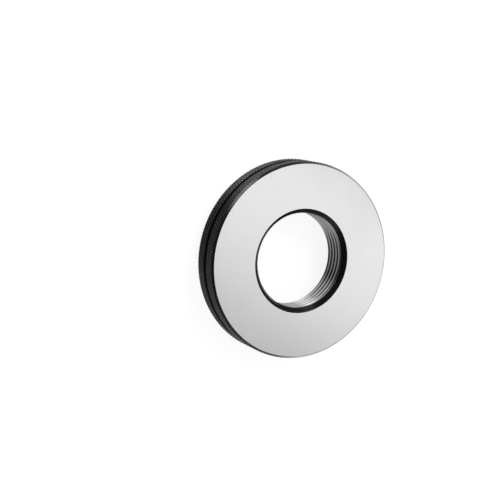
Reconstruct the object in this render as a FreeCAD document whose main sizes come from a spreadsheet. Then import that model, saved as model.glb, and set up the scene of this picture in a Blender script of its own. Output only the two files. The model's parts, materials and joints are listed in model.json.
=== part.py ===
import FreeCAD, Part
import os
import Sketcher

# A thread ring gauge: the not-go ring for an external metric thread, M36 x 2.
# It is one turned steel disc with a threaded bore through its middle. The disc lies on its
# back face, the bore's axis is +Z, and the origin is where that axis meets the back face.

SIZES = {
    # The disc. Its outside diameter is the diameter over the knurl.
    "outside_diameter": 71.0,
    "thickness": 12.0,
    "rim_chamfer": 0.8,
    # The narrow groove round the middle of the rim that marks a not-go ring.
    "rim_groove_width": 2.0,
    "rim_groove_depth": 1.0,
    "rim_groove_chamfer": 0.2,
    # The thread that the ring checks, and its form.
    "thread_diameter": 36.0,
    "thread_pitch": 2.0,
    "flank_angle": 60.0,
    # How far the ring's pitch diameter lies under the basic one of that thread.
    "not_go_step": 0.22,
    # A not-go ring has short flanks: this much of them stands inside the pitch line.
    "flank_height": 0.2,
    # The parallel relief at the thread's root, and its radial room past the checked thread.
    "root_width": 0.5,
    "root_clearance": 0.1,
    # The countersink at each end of the bore, and how far it reaches past the checked thread.
    "lead_in_depth": 1.4,
    "lead_in_rise": 0.75,
}

# Radii that follow from the sizes, as expressions on the sheet.
RIM = "Sizes.outside_diameter / 2"
GROOVE_FLOOR = RIM + " - Sizes.rim_groove_depth"
PITCH_LINE = ("Sizes.thread_diameter / 2 - 3 * sqrt(3) / 16 * Sizes.thread_pitch"
              " - Sizes.not_go_step / 2")
CREST = PITCH_LINE + " - Sizes.flank_height"
ROOT = "Sizes.thread_diameter / 2 + Sizes.root_clearance"
LEAD_IN = "Sizes.thread_diameter / 2 + Sizes.lead_in_rise"

# Heights above the back face.
BACK = "0"
FRONT = "Sizes.thickness"
GROOVE_LOW = "(Sizes.thickness - Sizes.rim_groove_width) / 2"
GROOVE_HIGH = "(Sizes.thickness + Sizes.rim_groove_width) / 2"

SAME = 1e-6


def make_sheet(doc):
    """The sheet of driving sizes, one cell and one alias for each."""
    sheet = doc.addObject("Spreadsheet::Sheet", "Sizes")
    for row, (alias, size) in enumerate(SIZES.items(), start=1):
        sheet.set(f"A{row}", alias)
        sheet.set(f"B{row}", str(size))
        sheet.setAlias(f"B{row}", alias)
    doc.recompute()
    return sheet


def origin_plane(body, role):
    """One of the body's own origin planes."""
    return next(item for item in body.Origin.OriginFeatures if item.Role == role)


def add_outline(sketch, corners):
    """Add a closed outline of straight edges whose corners are (radius, height) expressions.

    Each edge is horizontal or vertical where its two ends share a height or a radius, and every
    other radius and height is a dimension from the origin, bound to its expression.
    """
    first = sketch.GeometryCount
    count = len(corners)
    points = [FreeCAD.Vector(*(float(sketch.evalExpression(text)) for text in corner), 0)
              for corner in corners]
    for index in range(count):
        edge = Part.LineSegment(points[index], points[(index + 1) % count])
        sketch.addGeometry(edge, False)
    for index in range(count):
        edge = first + index
        following = first + (index + 1) % count
        sketch.addConstraint(Sketcher.Constraint("Coincident", edge, 2, following, 1))
    for index, corner in enumerate(corners):
        edge = first + index
        before = first + (index - 1) % count
        for axis, distance, level in ((0, "DistanceX", "Vertical"), (1, "DistanceY", "Horizontal")):
            if corner[axis] == corners[index - 1][axis]:
                sketch.addConstraint(Sketcher.Constraint(level, before))
                continue
            size = points[index][axis]
            number = sketch.addConstraint(Sketcher.Constraint(distance, -1, 1, edge, 1, size))
            sketch.setExpression(f"Constraints[{number}]", corner[axis])


def add_section(body, name, *outlines):
    """A sketch of one or more outlines on the body's XZ plane, beside the bore's axis."""
    sketch = body.newObject("Sketcher::SketchObject", name)
    sketch.AttachmentSupport = (origin_plane(body, "XZ_Plane"), "")
    sketch.MapMode = "FlatFace"
    for corners in outlines:
        add_outline(sketch, corners)
    sketch.Document.recompute()
    return sketch


def turn(body, kind, name, sketch):
    """Turn a section once round the bore's axis, to add (Revolution) or cut (Groove)."""
    feature = body.newObject(f"PartDesign::{kind}", name)
    feature.Profile = sketch
    feature.ReferenceAxis = (sketch, ["V_Axis"])
    feature.Angle = 360
    body.Document.recompute()
    return feature


def circles_at(feature, radius, heights):
    """The names of a solid's full circular edges of one radius at the given heights."""
    names = []
    for number, edge in enumerate(feature.Shape.Edges, start=1):
        curve = edge.Curve
        if not isinstance(curve, Part.Circle) or abs(curve.Radius - radius) > SAME:
            continue
        if any(abs(curve.Center.z - height) < SAME for height in heights):
            names.append(f"Edge{number}")
    return names


def chamfer(body, name, base, radius, heights, size):
    """A 45 degree chamfer on the circular edges of one radius at the given heights."""
    radius, *heights = (float(base.evalExpression(text)) for text in (radius, *heights))
    feature = body.newObject("PartDesign::Chamfer", name)
    feature.Base = (base, circles_at(base, radius, heights))
    feature.setExpression("Size", size)
    body.Document.recompute()
    return feature


def lead_in_outlines():
    """The triangle of steel that each countersink takes off the ends of the bore."""
    inner_back = "Sizes.lead_in_depth"
    inner_front = "Sizes.thickness - Sizes.lead_in_depth"
    back = [(CREST, BACK), (LEAD_IN, BACK), (CREST, inner_back)]
    front = [(CREST, FRONT), (CREST, inner_front), (LEAD_IN, FRONT)]
    return back, front


def thread_outline():
    """The thread's groove in section, one pitch below the back face.

    Two flanks, half a pitch apart at the pitch line, close in to the parallel root relief. The
    outline opens into the bore as far inside the crest as the flanks reach, so that it cuts clean.
    """
    middle = "0 - Sizes.thread_pitch"
    slope = "tan(Sizes.flank_angle / 2)"
    mouth = f"{CREST} - Sizes.flank_height"
    mouth_half = f"(Sizes.thread_pitch / 4 + 2 * Sizes.flank_height * {slope})"
    relief_half = "(Sizes.root_width / 2)"
    relief = f"{PITCH_LINE} + (Sizes.thread_pitch / 4 - {relief_half}) / {slope}"
    return [
        (mouth, f"{middle} - {mouth_half}"),
        (relief, f"{middle} - {relief_half}"),
        (ROOT, f"{middle} - {relief_half}"),
        (ROOT, f"{middle} + {relief_half}"),
        (relief, f"{middle} + {relief_half}"),
        (mouth, f"{middle} + {mouth_half}"),
    ]


def cut_thread(body, sketch):
    """Sweep the groove up a right-hand helix, from a pitch below the ring to a pitch above it."""
    feature = body.newObject("PartDesign::SubtractiveHelix", "thread")
    feature.Profile = sketch
    feature.ReferenceAxis = (sketch, ["V_Axis"])
    feature.Mode = "pitch-height-angle"
    feature.setExpression("Pitch", "Sizes.thread_pitch")
    feature.setExpression("Height", "Sizes.thickness + 2 * Sizes.thread_pitch")
    feature.LeftHanded = False
    body.Document.recompute()
    return feature


def make_ring(doc):
    """The whole ring: a turned blank, its rim groove and edges, its countersinks and thread."""
    body = doc.addObject("PartDesign::Body", "Ring")
    body.Label = "ring_gauge"

    blank_section = add_section(
        body, "blank_section", [(CREST, BACK), (RIM, BACK), (RIM, FRONT), (CREST, FRONT)])
    blank = turn(body, "Revolution", "blank", blank_section)

    groove_section = add_section(body, "rim_groove_section", [
        (GROOVE_FLOOR, GROOVE_LOW), (RIM, GROOVE_LOW), (RIM, GROOVE_HIGH), (GROOVE_FLOOR, GROOVE_HIGH)])
    rim_groove = turn(body, "Groove", "rim_groove", groove_section)

    lead_in_section = add_section(body, "lead_in_section", *lead_in_outlines())
    lead_ins = turn(body, "Groove", "lead_ins", lead_in_section)

    rim_edges = chamfer(body, "rim_edges", lead_ins, RIM, (BACK, FRONT), "Sizes.rim_chamfer")
    groove_edges = chamfer(body, "rim_groove_edges", rim_edges, RIM, (GROOVE_LOW, GROOVE_HIGH),
                           "Sizes.rim_groove_chamfer")

    thread = cut_thread(body, add_section(body, "thread_section", thread_outline()))

    steps = [blank, rim_groove, lead_ins, rim_edges, groove_edges, thread]
    for before, after in zip(steps, steps[1:]):
        if after.Shape.Volume > before.Shape.Volume - SAME:
            raise RuntimeError(f"{after.Name} takes no material away")
    return body


def check(doc, bodies):
    """Stop if any object of the document failed, or a body isn't one valid solid."""
    for item in doc.Objects:
        if "Invalid" in item.State or "Error" in item.State:
            raise RuntimeError(f"{item.Name} failed: {item.State}")
    for body in bodies:
        shape = body.Shape
        if shape.isNull() or not shape.isValid() or len(shape.Solids) != 1:
            raise RuntimeError(f"{body.Label} isn't one valid solid")


def main():
    doc = FreeCAD.newDocument("thread_ring_gauge")
    make_sheet(doc)
    bodies = [make_ring(doc)]
    doc.recompute()
    check(doc, bodies)
    os.makedirs("parts", exist_ok=True)
    for body in bodies:
        body.Shape.exportStep(f"parts/{body.Label}.step")
        box = body.Shape.optimalBoundingBox(False, False)
        print(f"{body.Label}: {body.Shape.Volume:.1f} mm3, {len(body.Shape.Faces)} faces,"
              f" {box.XLength:.2f} x {box.YLength:.2f} x {box.ZLength:.2f} mm")


main()
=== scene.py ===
"""A not-go thread ring gauge: one steel ring with lapped faces, a knurled black rim with a
groove round it, black countersinks and a ground thread through its bore."""
import json
import math

import bmesh
import bpy
import numpy as np
from mathutils import Matrix, Vector


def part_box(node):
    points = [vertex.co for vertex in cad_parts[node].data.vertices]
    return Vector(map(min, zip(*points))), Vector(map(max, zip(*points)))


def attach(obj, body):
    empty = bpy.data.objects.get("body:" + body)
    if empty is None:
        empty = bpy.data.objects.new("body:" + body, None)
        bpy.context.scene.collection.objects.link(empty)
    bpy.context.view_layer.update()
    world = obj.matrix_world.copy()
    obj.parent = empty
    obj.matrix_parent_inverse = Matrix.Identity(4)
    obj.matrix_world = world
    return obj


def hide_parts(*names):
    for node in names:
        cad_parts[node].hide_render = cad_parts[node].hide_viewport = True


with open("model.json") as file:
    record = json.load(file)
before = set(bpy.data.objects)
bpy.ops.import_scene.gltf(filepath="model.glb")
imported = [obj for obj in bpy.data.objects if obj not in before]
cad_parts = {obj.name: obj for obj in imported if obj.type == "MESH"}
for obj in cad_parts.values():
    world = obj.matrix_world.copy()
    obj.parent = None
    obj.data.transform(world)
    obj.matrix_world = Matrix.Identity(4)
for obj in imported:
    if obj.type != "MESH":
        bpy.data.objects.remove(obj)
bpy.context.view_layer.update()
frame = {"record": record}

MM = 0.001

# Driving sizes, in millimetres, read from the frame.
ring_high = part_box("ring_gauge")[1]
RIM_RADIUS = ring_high[0] / MM
THICKNESS = ring_high[2] / MM
MIDDLE = THICKNESS / 2
mounts = {mount["name"]: mount for mount in frame["record"]["mounts"]}
CREST_RADIUS = mounts["gauge_thread"]["dims"]["r_mm"]

# The turned shape, in millimetres.
RIM_CHAMFER = 0.8
GROOVE_WIDTH = 2.0
GROOVE_DEPTH = 1.0
GROOVE_CHAMFER = 0.2
LEAD_IN_RADIUS = 18.75
LEAD_IN_DEPTH = 1.4

# The edges of the faces are eased by a hair after lapping. The other numbers are shares of it:
# where the easing starts on the chamfer, and the point of its bend, in from the corner and down.
EASED = 0.06
EASED_START = 0.7
EASED_BEND_IN = 0.3
EASED_BEND_DOWN = 0.16
EASED_LEAD_IN_BEND = 0.2

# The thread: pitch, half widths of its groove at the crest and at the parallel root relief, and
# the radii of the relief's two ends.
PITCH = 2.0
CREST_HALF = 0.6155
RELIEF_HALF = 0.25
RELIEF_RADIUS = 17.673
ROOT_RADIUS = 18.1

# The diamond knurl. A half step is half a diamond, and each is cut into three for the mesh. The
# profile is the knurl's height at those cuts, from a valley to a tip that is worn nearly flat.
KNURL_HALF_STEPS = 340
KNURL_HALF_HEIGHT = 1.2
KNURL_DEPTH = 0.18
KNURL_CUTS = 3
KNURL_PROFILE = (0, 0.7, 0.98, 1)
RIM_COLUMNS = KNURL_HALF_STEPS * KNURL_CUTS
BORE_COLUMNS = KNURL_HALF_STEPS

# How far the black skin is bared to steel, from 0 to 1: degrees round the axis, the chamfers there,
# and the tips of the knurl there. This is partly wear and partly painted light: where it is high,
# as on the chamfer from 129 to 142 degrees, the bare steel paints a highlight, and where it is low,
# as from 150 to 225 degrees, it paints shade. The groove is rubbed alike all round.
WEAR_AND_SHEEN_ROUND = np.array([
    (0, 0.35, 1.0), (30, 0.45, 1.0), (60, 0.8, 0.9), (72, 0.5, 0.6), (85, 0.2, 0.3),
    (100, 0.04, 0.15), (120, 0.04, 0.7), (129, 0.36, 0.7), (142, 0.33, 0.3), (152, 0.02, 0.1),
    (190, 0.0, 0.25), (225, 0.03, 0.1), (258, 0.15, 0.5), (272, 0.8, 0.7), (360, 0.35, 1.0)])
WEAR_AND_SHEEN_AT = np.radians(WEAR_AND_SHEEN_ROUND[:, 0])
CHAMFER_WEAR_AND_SHEEN = WEAR_AND_SHEEN_ROUND[:, 1]
KNURL_WEAR_AND_SHEEN = WEAR_AND_SHEEN_ROUND[:, 2]
GROOVE_RUBBED = 0.025

# Two radii, in millimetres, that are nearer than SAME are one. Points, in metres, that are
# nearer than TOUCHING are joined. A sharper fold than SHARP has a hard edge.
SAME = 1e-6
TOUCHING = 2e-6
SHARP = math.radians(25)

# Order of the materials on the ring's mesh.
FACE, KNURL, TURNED, THREAD = range(4)

# Colours of the finishes. A pair is the darker and the paler shade of one finish.
LAPPED_SHADES = (0.70, 0.70, 0.69, 1), (0.86, 0.86, 0.86, 1)
SKIN_SHADES = (0.0025, 0.003, 0.0035, 1), (0.006, 0.0066, 0.0074, 1)
# Bare steel where the skin is rubbed through, also where it paints highlights round the rim.
BARE_STEEL_AND_SHEEN = (0.5, 0.5, 0.51, 1)
GROUND_SHADES = (0.11, 0.11, 0.108, 1), (0.17, 0.17, 0.167, 1)
# Paler steel on two sides of the bore: a painted highlight.
BORE_HIGHLIGHT_STEEL = (0.7, 0.7, 0.69, 1)
# Dark laid down the thread's flanks to the root: painted shade in the grooves.
PAINTED_ROOT_SHADE = (0.02, 0.02, 0.02, 1)

# Nearly all of a grain's values lie between these two.
GRAIN_LOW = 0.3
GRAIN_HIGH = 0.7

# Roughness of the bare finishes, between their smoothest and roughest spots, and the share of
# wear from which the black skin is all metal.
LAPPED_ROUGHNESS = (0.17, 0.23)
GROUND_ROUGHNESS = (0.26, 0.38)
METAL_FROM = 0.08

# Painted shade in the thread's grooves, in millimetres. It darkens between two distances outside
# the crest. In the last turns it thins out to a share, between two distances short of the
# countersinks.
ROOT_SHADE_STARTS = 0.02
ROOT_SHADE_FULL = 0.42
ROOT_SHADE_THINS_FROM = 1.6
ROOT_SHADE_THINS_TO = 0.6
ROOT_SHADE_SHARE_LEFT = 0.2

# The two sides of the bore with a painted highlight, paler steel that also lifts the painted shade
# in the grooves: degrees round the axis to the middle of the side, degrees from there to its rim
# and to its core, and the share of the highlight in its core.
PAINTED_BORE_HIGHLIGHTS = ((308, 32, 4, 0.52), (22, 45, 10, 0.12))

# The picture's own view of the ring: how its front face is turned, and where it is seen, in
# pixels right of and below the middle. Distances are in millimetres.
FRAME_PIXELS = 500.0
FOCAL_PIXELS = 1176.0
CAMERA_DISTANCE = 417.6
FACE_YAW = math.radians(27.5)
FACE_PITCH = math.radians(-8.96)
FACE_SEEN_AT = (52.2, 11.2)
SENSOR_WIDTH = 36.0

# The floor, in metres. The eye and the steel see a glow mixed into its matt white.
FLOOR_HALF = 2.0
FLOOR_DROP = 0.00002
FLOOR_WHITE = (0.85, 0.85, 0.85, 1)
FLOOR_GLOW = 1.24
FLOOR_GLOW_SHARE = 0.7

# The room's light: its strength low down and high up, and the heights of a direction between
# which it changes. Past the floor the camera sees the backdrop.
LOW_LIGHT = 0.75
HIGH_LIGHT = 0.45
LOW_HEIGHT = 0.2
HIGH_HEIGHT = 0.6
BACKDROP = 1.05

# Patches of the room, laid on in this order: a direction in the picture's right, up and towards
# the eye, degrees from there to its rim and to its core, its level outside and inside, and how
# it is laid on. They are a soft box at the right, a shade low on it, the dim side behind the
# camera, and a second soft box above that.
ROOM_PATCHES = (
    ((0.915, 0.198, 0.352), 34, 30, 0.0, 0.74, "ADD"),
    ((0.914, -0.004, 0.405), 14, 8, 1.0, 0.39, "MULTIPLY"),
    ((-0.25, 0.10, 0.96), 60, 34, 1.0, 0.4, "MULTIPLY"),
    ((-0.22, 0.66, 0.72), 26, 6, 0.0, 0.8, "ADD"),
)


def knurl_rise(column, height):
    """Height of the knurl above its valleys, from 0 to 1.

    Two families of straight valleys cross on the rim. The rise follows the knurl's profile with
    the distance to the nearer valley, as a share of a diamond's half width.
    """
    around = column / KNURL_CUTS
    across = (height - MIDDLE) / KNURL_HALF_HEIGHT
    one = (around + across) / 2
    other = (around - across) / 2
    nearer = np.minimum(np.abs(one - np.round(one)), np.abs(other - np.round(other))) * 2
    return np.interp(nearer, np.linspace(0, 1, KNURL_CUTS + 1), KNURL_PROFILE)


def round_axis(radius, turn, height):
    """Points at radii, angles round the axis and heights.

    Across the ring a point lies at its radius times the cosine and the sine of its angle.
    """
    place = np.broadcast_arrays(radius * np.cos(turn), radius * np.sin(turn), height)
    return np.stack(place, axis=-1)


def full_turn(columns):
    """The angles of a number of columns that share out a full turn."""
    return 2 * np.pi * np.arange(columns) / columns


def rim_outline():
    """The rim's turned outline as (radius, height) rows, from the front face to the back face.

    Each knurled band has a row at each cut of the knurl, and one more where the valleys run
    out on the chamfer.
    """
    row = KNURL_HALF_HEIGHT / KNURL_CUTS
    band_start = GROOVE_WIDTH / 2 + GROOVE_CHAMFER
    band_end = MIDDLE - RIM_CHAMFER
    corner = RIM_RADIUS - RIM_CHAMFER
    half = [(RIM_RADIUS - GROOVE_DEPTH, GROOVE_WIDTH / 2),
            (RIM_RADIUS - GROOVE_CHAMFER, GROOVE_WIDTH / 2)]
    half += [(RIM_RADIUS, height) for height in np.arange(band_start, band_end + row / 2, row)]
    half += [(RIM_RADIUS - KNURL_DEPTH, band_end + KNURL_DEPTH),
             (corner + EASED * EASED_START, MIDDLE - EASED * EASED_START),
             (corner - EASED * EASED_BEND_IN, MIDDLE - EASED * EASED_BEND_DOWN),
             (corner - EASED, MIDDLE)]
    half = np.array(half)
    return np.vstack([half[::-1] + [0, MIDDLE], half * [1, -1] + [0, MIDDLE]])


def rim_faces(height):
    """Two triangles for each cell between the rim's rows, split along the knurl's valleys.

    A valley rises through a cell where the numbers of its half step round the rim and its half
    height across the rim add up to an even one, and falls through it elsewhere.
    """
    number = np.arange(len(height) * RIM_COLUMNS).reshape(-1, RIM_COLUMNS)
    upper, lower = number[:-1], number[1:]
    upper_next, lower_next = np.roll(upper, -1, axis=1), np.roll(lower, -1, axis=1)
    around = np.arange(RIM_COLUMNS) // KNURL_CUTS
    across = (height - MIDDLE) / KNURL_HALF_HEIGHT
    across = np.floor((across[:-1] + across[1:]) / 2).astype(int)
    rising = ((around + across) % 2 == 0)[..., None]
    one = np.where(rising, np.stack([upper, lower, upper_next], axis=-1),
                   np.stack([upper, lower, lower_next], axis=-1))
    other = np.where(rising, np.stack([lower, lower_next, upper_next], axis=-1),
                     np.stack([upper, lower_next, upper_next], axis=-1))
    return np.concatenate([one.reshape(-1, 3), other.reshape(-1, 3)])


def rim_mesh():
    """The rim: the turned outline carried round the axis, and the knurl where it is deeper.

    The bared steel, partly wear and partly painted highlight and shade, runs straight between its
    given angles round the axis, and on the knurl it grows with the square of the rise.
    """
    outline = rim_outline()
    radius, height = outline[:, :1], outline[:, 1:]
    turn = full_turn(RIM_COLUMNS)
    rise = knurl_rise(np.arange(RIM_COLUMNS), height)
    knurl = RIM_RADIUS - KNURL_DEPTH * (1 - rise)
    points = round_axis(np.minimum(radius, knurl), turn, height)

    on_rim = radius > RIM_RADIUS - SAME
    on_chamfer = ~on_rim & (np.abs(height - MIDDLE) > GROOVE_WIDTH)
    # Bare steel by angle: partly wear, partly a painted highlight where high and painted shade where
    # low.
    wear = np.where(on_chamfer, np.interp(turn, WEAR_AND_SHEEN_AT, CHAMFER_WEAR_AND_SHEEN), GROOVE_RUBBED)
    wear = np.where(on_rim, rise ** 2 * np.interp(turn, WEAR_AND_SHEEN_AT, KNURL_WEAR_AND_SHEEN), wear)

    knurled = (on_rim[:-1] & on_rim[1:]).ravel()
    finish = np.tile(np.repeat(np.where(knurled, KNURL, TURNED), RIM_COLUMNS), 2)
    return points.reshape(-1, 3), rim_faces(height).tolist(), finish.tolist(), wear.ravel()


def lead_in_radius(height):
    """Radius of the nearer countersink at a height: a cone that narrows into the bore."""
    depth = np.minimum(height, THICKNESS - height)
    return LEAD_IN_RADIUS - depth * (LEAD_IN_RADIUS - CREST_RADIUS) / LEAD_IN_DEPTH


def bore_mesh():
    """The bore: the thread's section carried up a helix, and cut by the two countersinks.

    One turn's section has six corners: two flanks, the two walls and floor of the root relief,
    and the crest up to the next turn. Between two corners lies a point where the section meets a
    countersink, or else at one of the two. Each point is then moved out to the countersink where
    that is wider, and back to the ring's eased edge past its end, so the edges are cut true.
    """
    section = np.array([
        (CREST_RADIUS, -CREST_HALF), (RELIEF_RADIUS, -RELIEF_HALF), (ROOT_RADIUS, -RELIEF_HALF),
        (ROOT_RADIUS, RELIEF_HALF), (RELIEF_RADIUS, RELIEF_HALF), (CREST_RADIUS, CREST_HALF)])
    following = np.vstack([section[1:], section[:1] + [0, PITCH]])
    run_finish = np.array([THREAD, TURNED, TURNED, TURNED, THREAD, THREAD])

    # The helix starts one turn below the ring and ends one turn above it.
    turns = int(round(THICKNESS / PITCH)) + 2
    step = np.arange(turns * BORE_COLUMNS + 1)
    climb = (step / BORE_COLUMNS - 1) * PITCH
    start_radius = np.broadcast_to(section[:, 0], (len(step), len(section)))
    start_height = section[:, 1] + climb[:, None]
    end_radius = np.broadcast_to(following[:, 0], start_radius.shape)
    end_height = following[:, 1] + climb[:, None]
    start_cut = lead_in_radius(start_height) - start_radius
    end_cut = lead_in_radius(end_height) - end_radius
    share = np.clip(start_cut / (start_cut - end_cut), 0, 1)
    meet_radius = start_radius + share * (end_radius - start_radius)
    meet_height = start_height + share * (end_height - start_height)

    radius = np.stack([start_radius, meet_radius], axis=-1).reshape(len(step), -1)
    height = np.stack([start_height, meet_height], axis=-1).reshape(len(step), -1)
    cut = lead_in_radius(height) - radius
    height = np.clip(height, EASED, THICKNESS - EASED)
    radius = np.maximum(radius, lead_in_radius(height))
    turn = (2 * np.pi * step / BORE_COLUMNS)[:, None]
    points = round_axis(radius, turn, height).reshape(-1, 3)

    # Each face runs up to the next point of the section, or to the first one a turn later.
    number = np.arange(radius.size).reshape(radius.shape)
    above = np.full_like(number, -1)
    above[:, :-1] = number[:, 1:]
    above[:-BORE_COLUMNS, -1] = number[BORE_COLUMNS:, 0]
    faces = np.stack([number[:-1], number[1:], above[1:], above[:-1]], axis=-1).reshape(-1, 4)
    whole = (faces >= 0).all(axis=1)
    faces = faces[whole]
    on_cone = cut.ravel()[faces].mean(axis=1) > 0
    finish = np.tile(np.repeat(run_finish, 2), len(step) - 1)[whole]
    finish = np.where(on_cone, TURNED, finish)
    return points, faces.tolist(), finish.tolist(), np.zeros(len(points))


def face_mesh(height, inwards):
    """One flat face, from the rim's eased edge to the countersink's.

    Each of its sectors has one edge at the countersink and KNURL_CUTS edges at the rim. Two more
    rows of faces round the edge down to the countersink.
    """
    outer = full_turn(RIM_COLUMNS)
    inner = full_turn(BORE_COLUMNS)
    bend = EASED * EASED_LEAD_IN_BEND
    rings = [(RIM_RADIUS - RIM_CHAMFER - EASED, outer, 0), (LEAD_IN_RADIUS + EASED, inner, 0),
             (LEAD_IN_RADIUS + bend, inner, bend), (lead_in_radius(EASED), inner, EASED)]
    points = np.vstack([round_axis(radius, turn, height + inwards * drop)
                        for radius, turn, drop in rings])
    sector = np.arange(BORE_COLUMNS)[:, None]
    rim_side = (sector * KNURL_CUTS + np.arange(KNURL_CUTS + 1)) % RIM_COLUMNS
    bore_side = (sector + [1, 0]) % BORE_COLUMNS
    flat = np.hstack([rim_side, RIM_COLUMNS + bore_side]).tolist()
    edge = np.vstack([np.hstack([bore_side + start, bore_side[:, ::-1] + start + BORE_COLUMNS])
                      for start in (RIM_COLUMNS, RIM_COLUMNS + BORE_COLUMNS)]).tolist()
    wear = np.concatenate([np.ones(RIM_COLUMNS), np.zeros(len(points) - RIM_COLUMNS)])
    return points, flat + edge, [FACE] * len(flat) + [TURNED] * len(edge), wear


def join_edges(mesh):
    """Join points that lie together, drop the faces that this closes up, and face all outwards."""
    work = bmesh.new()
    work.from_mesh(mesh)
    bmesh.ops.remove_doubles(work, verts=work.verts, dist=TOUCHING)
    bmesh.ops.dissolve_degenerate(work, edges=work.edges, dist=TOUCHING)
    bmesh.ops.recalc_face_normals(work, faces=work.faces)
    work.to_mesh(mesh)
    work.free()


def ring_piece(materials):
    """The whole ring as one closed mesh: the rim, the bore and both faces, joined at their edges."""
    points, faces, finish, wear = [], [], [], []
    start = 0
    for part in (rim_mesh(), bore_mesh(), face_mesh(THICKNESS, -1), face_mesh(0.0, 1)):
        part_points, part_faces, part_finish, part_wear_and_sheen = part
        points.append(part_points)
        faces += [[corner + start for corner in face] for face in part_faces]
        finish += part_finish
        wear.append(part_wear_and_sheen)
        start += len(part_points)
    mesh = bpy.data.meshes.new("ring_steel")
    mesh.from_pydata(np.vstack(points) * MM, [], faces)
    for material in materials:
        mesh.materials.append(material)
    mesh.polygons.foreach_set("material_index", finish)
    mesh.attributes.new("wear", "FLOAT", "POINT").data.foreach_set("value", np.concatenate(wear))
    join_edges(mesh)
    mesh.set_sharp_from_angle(angle=SHARP)
    finish = np.empty(len(mesh.polygons), dtype=np.int32)
    mesh.polygons.foreach_get("material_index", finish)
    mesh.polygons.foreach_set("use_smooth", finish != FACE)
    piece = bpy.data.objects.new("ring_steel", mesh)
    bpy.context.collection.objects.link(piece)
    return piece


def put(tree, kind, inputs=(), **settings):
    """Add a node, set its settings, and fill its inputs: a socket is linked, a value is set."""
    made = tree.nodes.new(kind)
    for name, value in settings.items():
        setattr(made, name, value)
    for key, value in dict(inputs).items():
        if isinstance(value, bpy.types.NodeSocket):
            tree.links.new(value, made.inputs[key])
        else:
            made.inputs[key].default_value = value
    return made


def new_material(name):
    """A new material, with its node tree and its shader."""
    material = bpy.data.materials.new(name)
    material.use_nodes = True
    return material, material.node_tree, material.node_tree.nodes["Principled BSDF"]


def own_place(tree):
    """The surface's own place, in millimetres."""
    place = put(tree, "ShaderNodeTexCoord").outputs["Object"]
    return put(tree, "ShaderNodeVectorMath", {0: place, "Scale": 1 / MM}, operation="SCALE").outputs[0]


def grain(tree, place, per_mm, turn=0.0, detail=2.0):
    """Noise from 0 to 1 with its own number of grains in a millimetre along each direction."""
    laid = put(tree, "ShaderNodeMapping",
               {"Vector": place, "Rotation": (0, 0, turn), "Scale": per_mm}).outputs[0]
    return put(tree, "ShaderNodeTexNoise", {"Vector": laid, "Scale": 1.0, "Detail": detail}).outputs[0]


def fit(tree, value, start, end, first, last):
    """A value fitted smoothly from one range into another, and held at its ends."""
    ranges = {"Value": value, "From Min": start, "From Max": end, "To Min": first, "To Max": last}
    return put(tree, "ShaderNodeMapRange", ranges, interpolation_type="SMOOTHSTEP").outputs[0]


def spread(tree, noise, first, last):
    """A grain's usual range, spread between two values."""
    return fit(tree, noise, GRAIN_LOW, GRAIN_HIGH, first, last)


def patch(tree, way, middle, rim, core, outside, inside):
    """A level that changes smoothly round a middle direction, from its rim to its core.

    Both are angles from the middle, in degrees. The level follows the cosine of the angle
    between the middle and the way that is looked up, and both are one unit long.
    """
    facing = put(tree, "ShaderNodeVectorMath", {0: way, 1: middle}, operation="DOT_PRODUCT")
    return fit(tree, facing.outputs["Value"], math.cos(math.radians(rim)),
               math.cos(math.radians(core)), outside, inside)


def sums(tree, one, other, way="MULTIPLY"):
    """One value multiplied by another, or put together with it in the way that is named."""
    return put(tree, "ShaderNodeMath", {0: one, 1: other}, operation=way).outputs[0]


def blend(tree, share, one, other):
    """A colour between two colours. A Mix node has them as its inputs 6 and 7 and its output 2."""
    return put(tree, "ShaderNodeMix", {0: share, 6: one, 7: other}, data_type="RGBA").outputs[2]


def roughen(tree, shader, height, depth_mm):
    """Lay a height from 0 to 1 on the surface as a bump of that depth."""
    bump = put(tree, "ShaderNodeBump", {"Height": height, "Strength": 1.0, "Distance": depth_mm * MM})
    tree.links.new(bump.outputs[0], shader.inputs["Normal"])


def lapped_steel():
    """The faces: bright steel lapped flat, with fine crossed lapping marks and faint clouds."""
    material, tree, shader = new_material("lapped_steel")
    place = own_place(tree)
    marks = grain(tree, place, per_mm=(0.25, 9, 1), turn=0.6)
    crossed = grain(tree, place, per_mm=(0.3, 8, 1), turn=-1.1)
    lap = sums(tree, sums(tree, marks, crossed, "ADD"), 0.5)
    clouds = grain(tree, place, per_mm=(0.06, 0.06, 0.06), detail=4)
    shade = sums(tree, sums(tree, lap, clouds, "ADD"), 0.5)
    tree.links.new(blend(tree, shade, *LAPPED_SHADES), shader.inputs["Base Color"])
    tree.links.new(spread(tree, lap, *LAPPED_ROUGHNESS), shader.inputs["Roughness"])
    roughen(tree, shader, lap, depth_mm=0.0006)
    shader.inputs["Metallic"].default_value = 1.0
    return material


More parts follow.
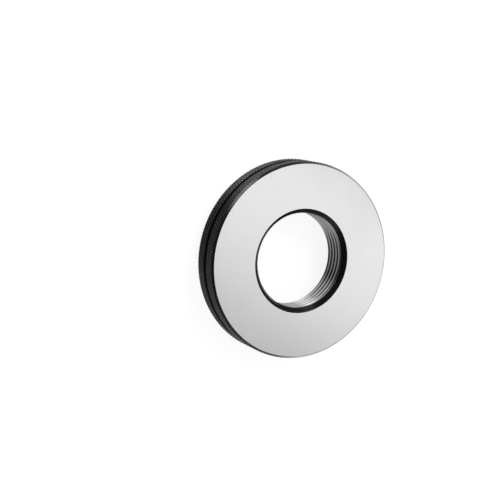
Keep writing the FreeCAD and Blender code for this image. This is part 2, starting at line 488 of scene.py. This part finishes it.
def blacken(name, gloss, roughness, tooth_mm, rubbed):
    """Blackened steel: a blue-black skin with a fine tooth, bared to steel where it wears and where
    the bare steel paints a highlight.

    The point attribute of wear and sheen says where it is bared, partly by wear and partly as painted
    highlight and shade, and slow clouds how far, between two shares. The skin is a coat, and what
    shows through it is metal.
    """
    material, tree, shader = new_material(name)
    place = own_place(tree)
    blotch = grain(tree, place, per_mm=(0.35, 0.35, 0.35), detail=4)
    tooth = grain(tree, place, per_mm=(14, 14, 14))
    clouds = grain(tree, place, per_mm=(0.14, 0.14, 0.14))
    wear = put(tree, "ShaderNodeAttribute", attribute_name="wear").outputs["Fac"]
    worn_and_sheen = sums(tree, wear, spread(tree, clouds, *rubbed))
    skin = blend(tree, blotch, *SKIN_SHADES)
    tree.links.new(blend(tree, worn_and_sheen, skin, BARE_STEEL_AND_SHEEN), shader.inputs["Base Color"])
    tree.links.new(fit(tree, worn_and_sheen, 0.0, METAL_FROM, 0.0, 1.0), shader.inputs["Metallic"])
    tree.links.new(spread(tree, blotch, *roughness), shader.inputs["Roughness"])
    shader.inputs["Specular IOR Level"].default_value = gloss
    roughen(tree, shader, tooth, tooth_mm)
    return material


def knurled_black():
    """The knurled bands: a dull black skin, a little lighter on the tips of the diamonds, by wear and,
    round the rim, by painted highlight and shade.
    """
    return blacken("knurled_black", gloss=0.025, roughness=(0.28, 0.36), tooth_mm=0.002,
                   rubbed=(0.12, 0.22))


def turned_black():
    """The chamfers, the groove and the countersinks: a smoother black skin over turned steel."""
    return blacken("turned_black", gloss=0.09, roughness=(0.18, 0.24), tooth_mm=0.0005,
                   rubbed=(0.8, 1.0))


def ground_thread():
    """The thread: ground steel with fine lines along the turns, darker down to the root as painted
    shade in the grooves.

    Paler steel on one side of the bore is a painted highlight that also lifts that shade, and a
    fainter one lies on another side.
    """
    material, tree, shader = new_material("ground_thread")
    place = own_place(tree)
    lines = grain(tree, place, per_mm=(0.12, 0.12, 16))
    flat = put(tree, "ShaderNodeVectorMath", {0: place, 1: (1, 1, 0)}, operation="MULTIPLY").outputs[0]
    radius = put(tree, "ShaderNodeVectorMath", {0: flat}, operation="LENGTH").outputs["Value"]
    outwards = put(tree, "ShaderNodeVectorMath", {0: flat}, operation="NORMALIZE").outputs[0]
    level = put(tree, "ShaderNodeSeparateXYZ", {0: place}).outputs["Z"]
    from_middle = sums(tree, sums(tree, level, MIDDLE, "SUBTRACT"), 0.0, "ABSOLUTE")
    mouth = MIDDLE - LEAD_IN_DEPTH
    # Painted shade down the flanks to the root, thinning out in the last turns.
    root = fit(tree, radius, CREST_RADIUS + ROOT_SHADE_STARTS, CREST_RADIUS + ROOT_SHADE_FULL, 0.0, 1.0)
    inside = fit(tree, from_middle, mouth - ROOT_SHADE_THINS_FROM, mouth - ROOT_SHADE_THINS_TO, 1.0, ROOT_SHADE_SHARE_LEFT)
    # Painted highlights on two sides of the bore, which also lift that shade.
    highlights = []
    for middle, rim, core, highlight_share in PAINTED_BORE_HIGHLIGHTS:
        highlight_way = (math.cos(math.radians(middle)), math.sin(math.radians(middle)), 0)
        highlights.append(patch(tree, outwards, highlight_way, rim, core, 0.0, highlight_share))
    bore_highlight = sums(tree, *highlights, "ADD")
    outside_highlight = sums(tree, 1.0, bore_highlight, "SUBTRACT")
    root_shade = sums(tree, sums(tree, root, inside), outside_highlight)
    steel = blend(tree, lines, *GROUND_SHADES)
    steel = blend(tree, bore_highlight, steel, BORE_HIGHLIGHT_STEEL)
    tree.links.new(blend(tree, root_shade, steel, PAINTED_ROOT_SHADE), shader.inputs["Base Color"])
    tree.links.new(spread(tree, lines, *GROUND_ROUGHNESS), shader.inputs["Roughness"])
    roughen(tree, shader, lines, depth_mm=0.002)
    shader.inputs["Metallic"].default_value = 1.0
    return material


def add_camera():
    """The camera at the photograph's viewing angle, looking down on the ring's front face.

    The face's normal and the two directions across it, as the camera sees them, are the columns
    of a turn from the ring to the camera. The camera's own axes are that turn's rows.
    """
    normal = np.array([math.sin(FACE_YAW) * math.cos(FACE_PITCH), math.sin(FACE_PITCH),
                       math.cos(FACE_YAW) * math.cos(FACE_PITCH)])
    right = np.cross([0, 1, 0], normal)
    right /= np.linalg.norm(right)
    up = np.cross(normal, right)
    to_camera = np.stack([right, up, normal], axis=1)
    scale = CAMERA_DISTANCE / FOCAL_PIXELS
    seen_at = np.array([FACE_SEEN_AT[0] * scale, -FACE_SEEN_AT[1] * scale, -CAMERA_DISTANCE])
    place = np.array([0, 0, THICKNESS]) - to_camera.T @ seen_at
    data = bpy.data.cameras.new("camera")
    data.sensor_width = SENSOR_WIDTH
    data.lens = FOCAL_PIXELS / FRAME_PIXELS * SENSOR_WIDTH
    camera = bpy.data.objects.new("camera", data)
    bpy.context.collection.objects.link(camera)
    turned = Matrix(to_camera.T.tolist()).to_4x4()
    turned.translation = place * MM
    camera.matrix_world = turned
    bpy.context.scene.camera = camera
    return turned.to_3x3()


def add_floor():
    """A wide white floor: white to the eye and in the steel, with a faint shadow of the ring."""
    mesh = bpy.data.meshes.new("floor")
    corners = [(-1, -1), (1, -1), (1, 1), (-1, 1)]
    mesh.from_pydata([(x * FLOOR_HALF, y * FLOOR_HALF, 0) for x, y in corners], [], [(0, 1, 2, 3)])
    floor = bpy.data.objects.new("floor", mesh)
    floor.location.z = -FLOOR_DROP
    bpy.context.collection.objects.link(floor)
    material, tree, shader = new_material("floor_white")
    tree.nodes.remove(shader)
    matt = put(tree, "ShaderNodeBsdfDiffuse", {"Color": FLOOR_WHITE}).outputs[0]
    glow = put(tree, "ShaderNodeEmission", {"Color": (1, 1, 1, 1), "Strength": FLOOR_GLOW}).outputs[0]
    path = put(tree, "ShaderNodeLightPath").outputs
    seen = sums(tree, path["Is Camera Ray"], path["Is Glossy Ray"], "MAXIMUM")
    seen = sums(tree, seen, path["Is Transmission Ray"], "MAXIMUM")
    share = sums(tree, seen, FLOOR_GLOW_SHARE)
    both = put(tree, "ShaderNodeMixShader", {0: share, 1: matt, 2: glow}).outputs[0]
    tree.links.new(both, tree.nodes["Material Output"].inputs["Surface"])
    mesh.materials.append(material)


def add_studio(view):
    """The room's light: grey, paler low down, with two soft boxes, and dim behind the camera.

    What the camera sees past the floor is white.
    """
    world = bpy.data.worlds.new("studio")
    bpy.context.scene.world = world
    world.use_nodes = True
    tree = world.node_tree
    way = put(tree, "ShaderNodeTexCoord").outputs["Generated"]
    height = put(tree, "ShaderNodeSeparateXYZ", {0: way}).outputs["Z"]
    light = fit(tree, height, LOW_HEIGHT, HIGH_HEIGHT, LOW_LIGHT, HIGH_LIGHT)
    for direction, rim, core, outside, inside, laid_on in ROOM_PATCHES:
        middle = view @ Vector(direction).normalized()
        light = sums(tree, light, patch(tree, way, middle, rim, core, outside, inside), laid_on)
    seen = put(tree, "ShaderNodeLightPath").outputs["Is Camera Ray"]
    light = put(tree, "ShaderNodeMix", {0: seen, 2: light, 3: BACKDROP}).outputs[0]
    tree.links.new(light, tree.nodes["Background"].inputs["Strength"])
    tree.nodes["Background"].inputs["Color"].default_value = (1, 1, 1, 1)


def add_lamp(view, name, direction, distance, size, brightness):
    """A square lamp in a direction given as the picture's right, up and towards the eye.

    Its distance from the front face and its side are in metres. Its brightness is that of its
    own face, where 1 is white.
    """
    data = bpy.data.lights.new(name, "AREA")
    data.shape = "SQUARE"
    data.size = size
    data.energy = brightness * math.pi * size ** 2
    lamp = bpy.data.objects.new(name, data)
    bpy.context.collection.objects.link(lamp)
    way = view @ Vector(direction).normalized()
    lamp.location = Vector((0, 0, THICKNESS * MM)) + way * distance
    lamp.rotation_euler = way.to_track_quat("Z", "Y").to_euler()
    lamp.visible_camera = False


ring = ring_piece([lapped_steel(), knurled_black(), turned_black(), ground_thread()])
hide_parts("ring_gauge")
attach(ring, "root")

view = add_camera()
add_floor()
add_studio(view)
add_lamp(view, "bore_lamp", direction=(0.62, 0.60, 0.50), distance=0.6, size=0.3, brightness=4.5)
add_lamp(view, "low_lamp", direction=(0.15, -0.90, 0.40), distance=0.6, size=0.35, brightness=1.8)

bpy.context.scene.view_settings.view_transform = "Standard"
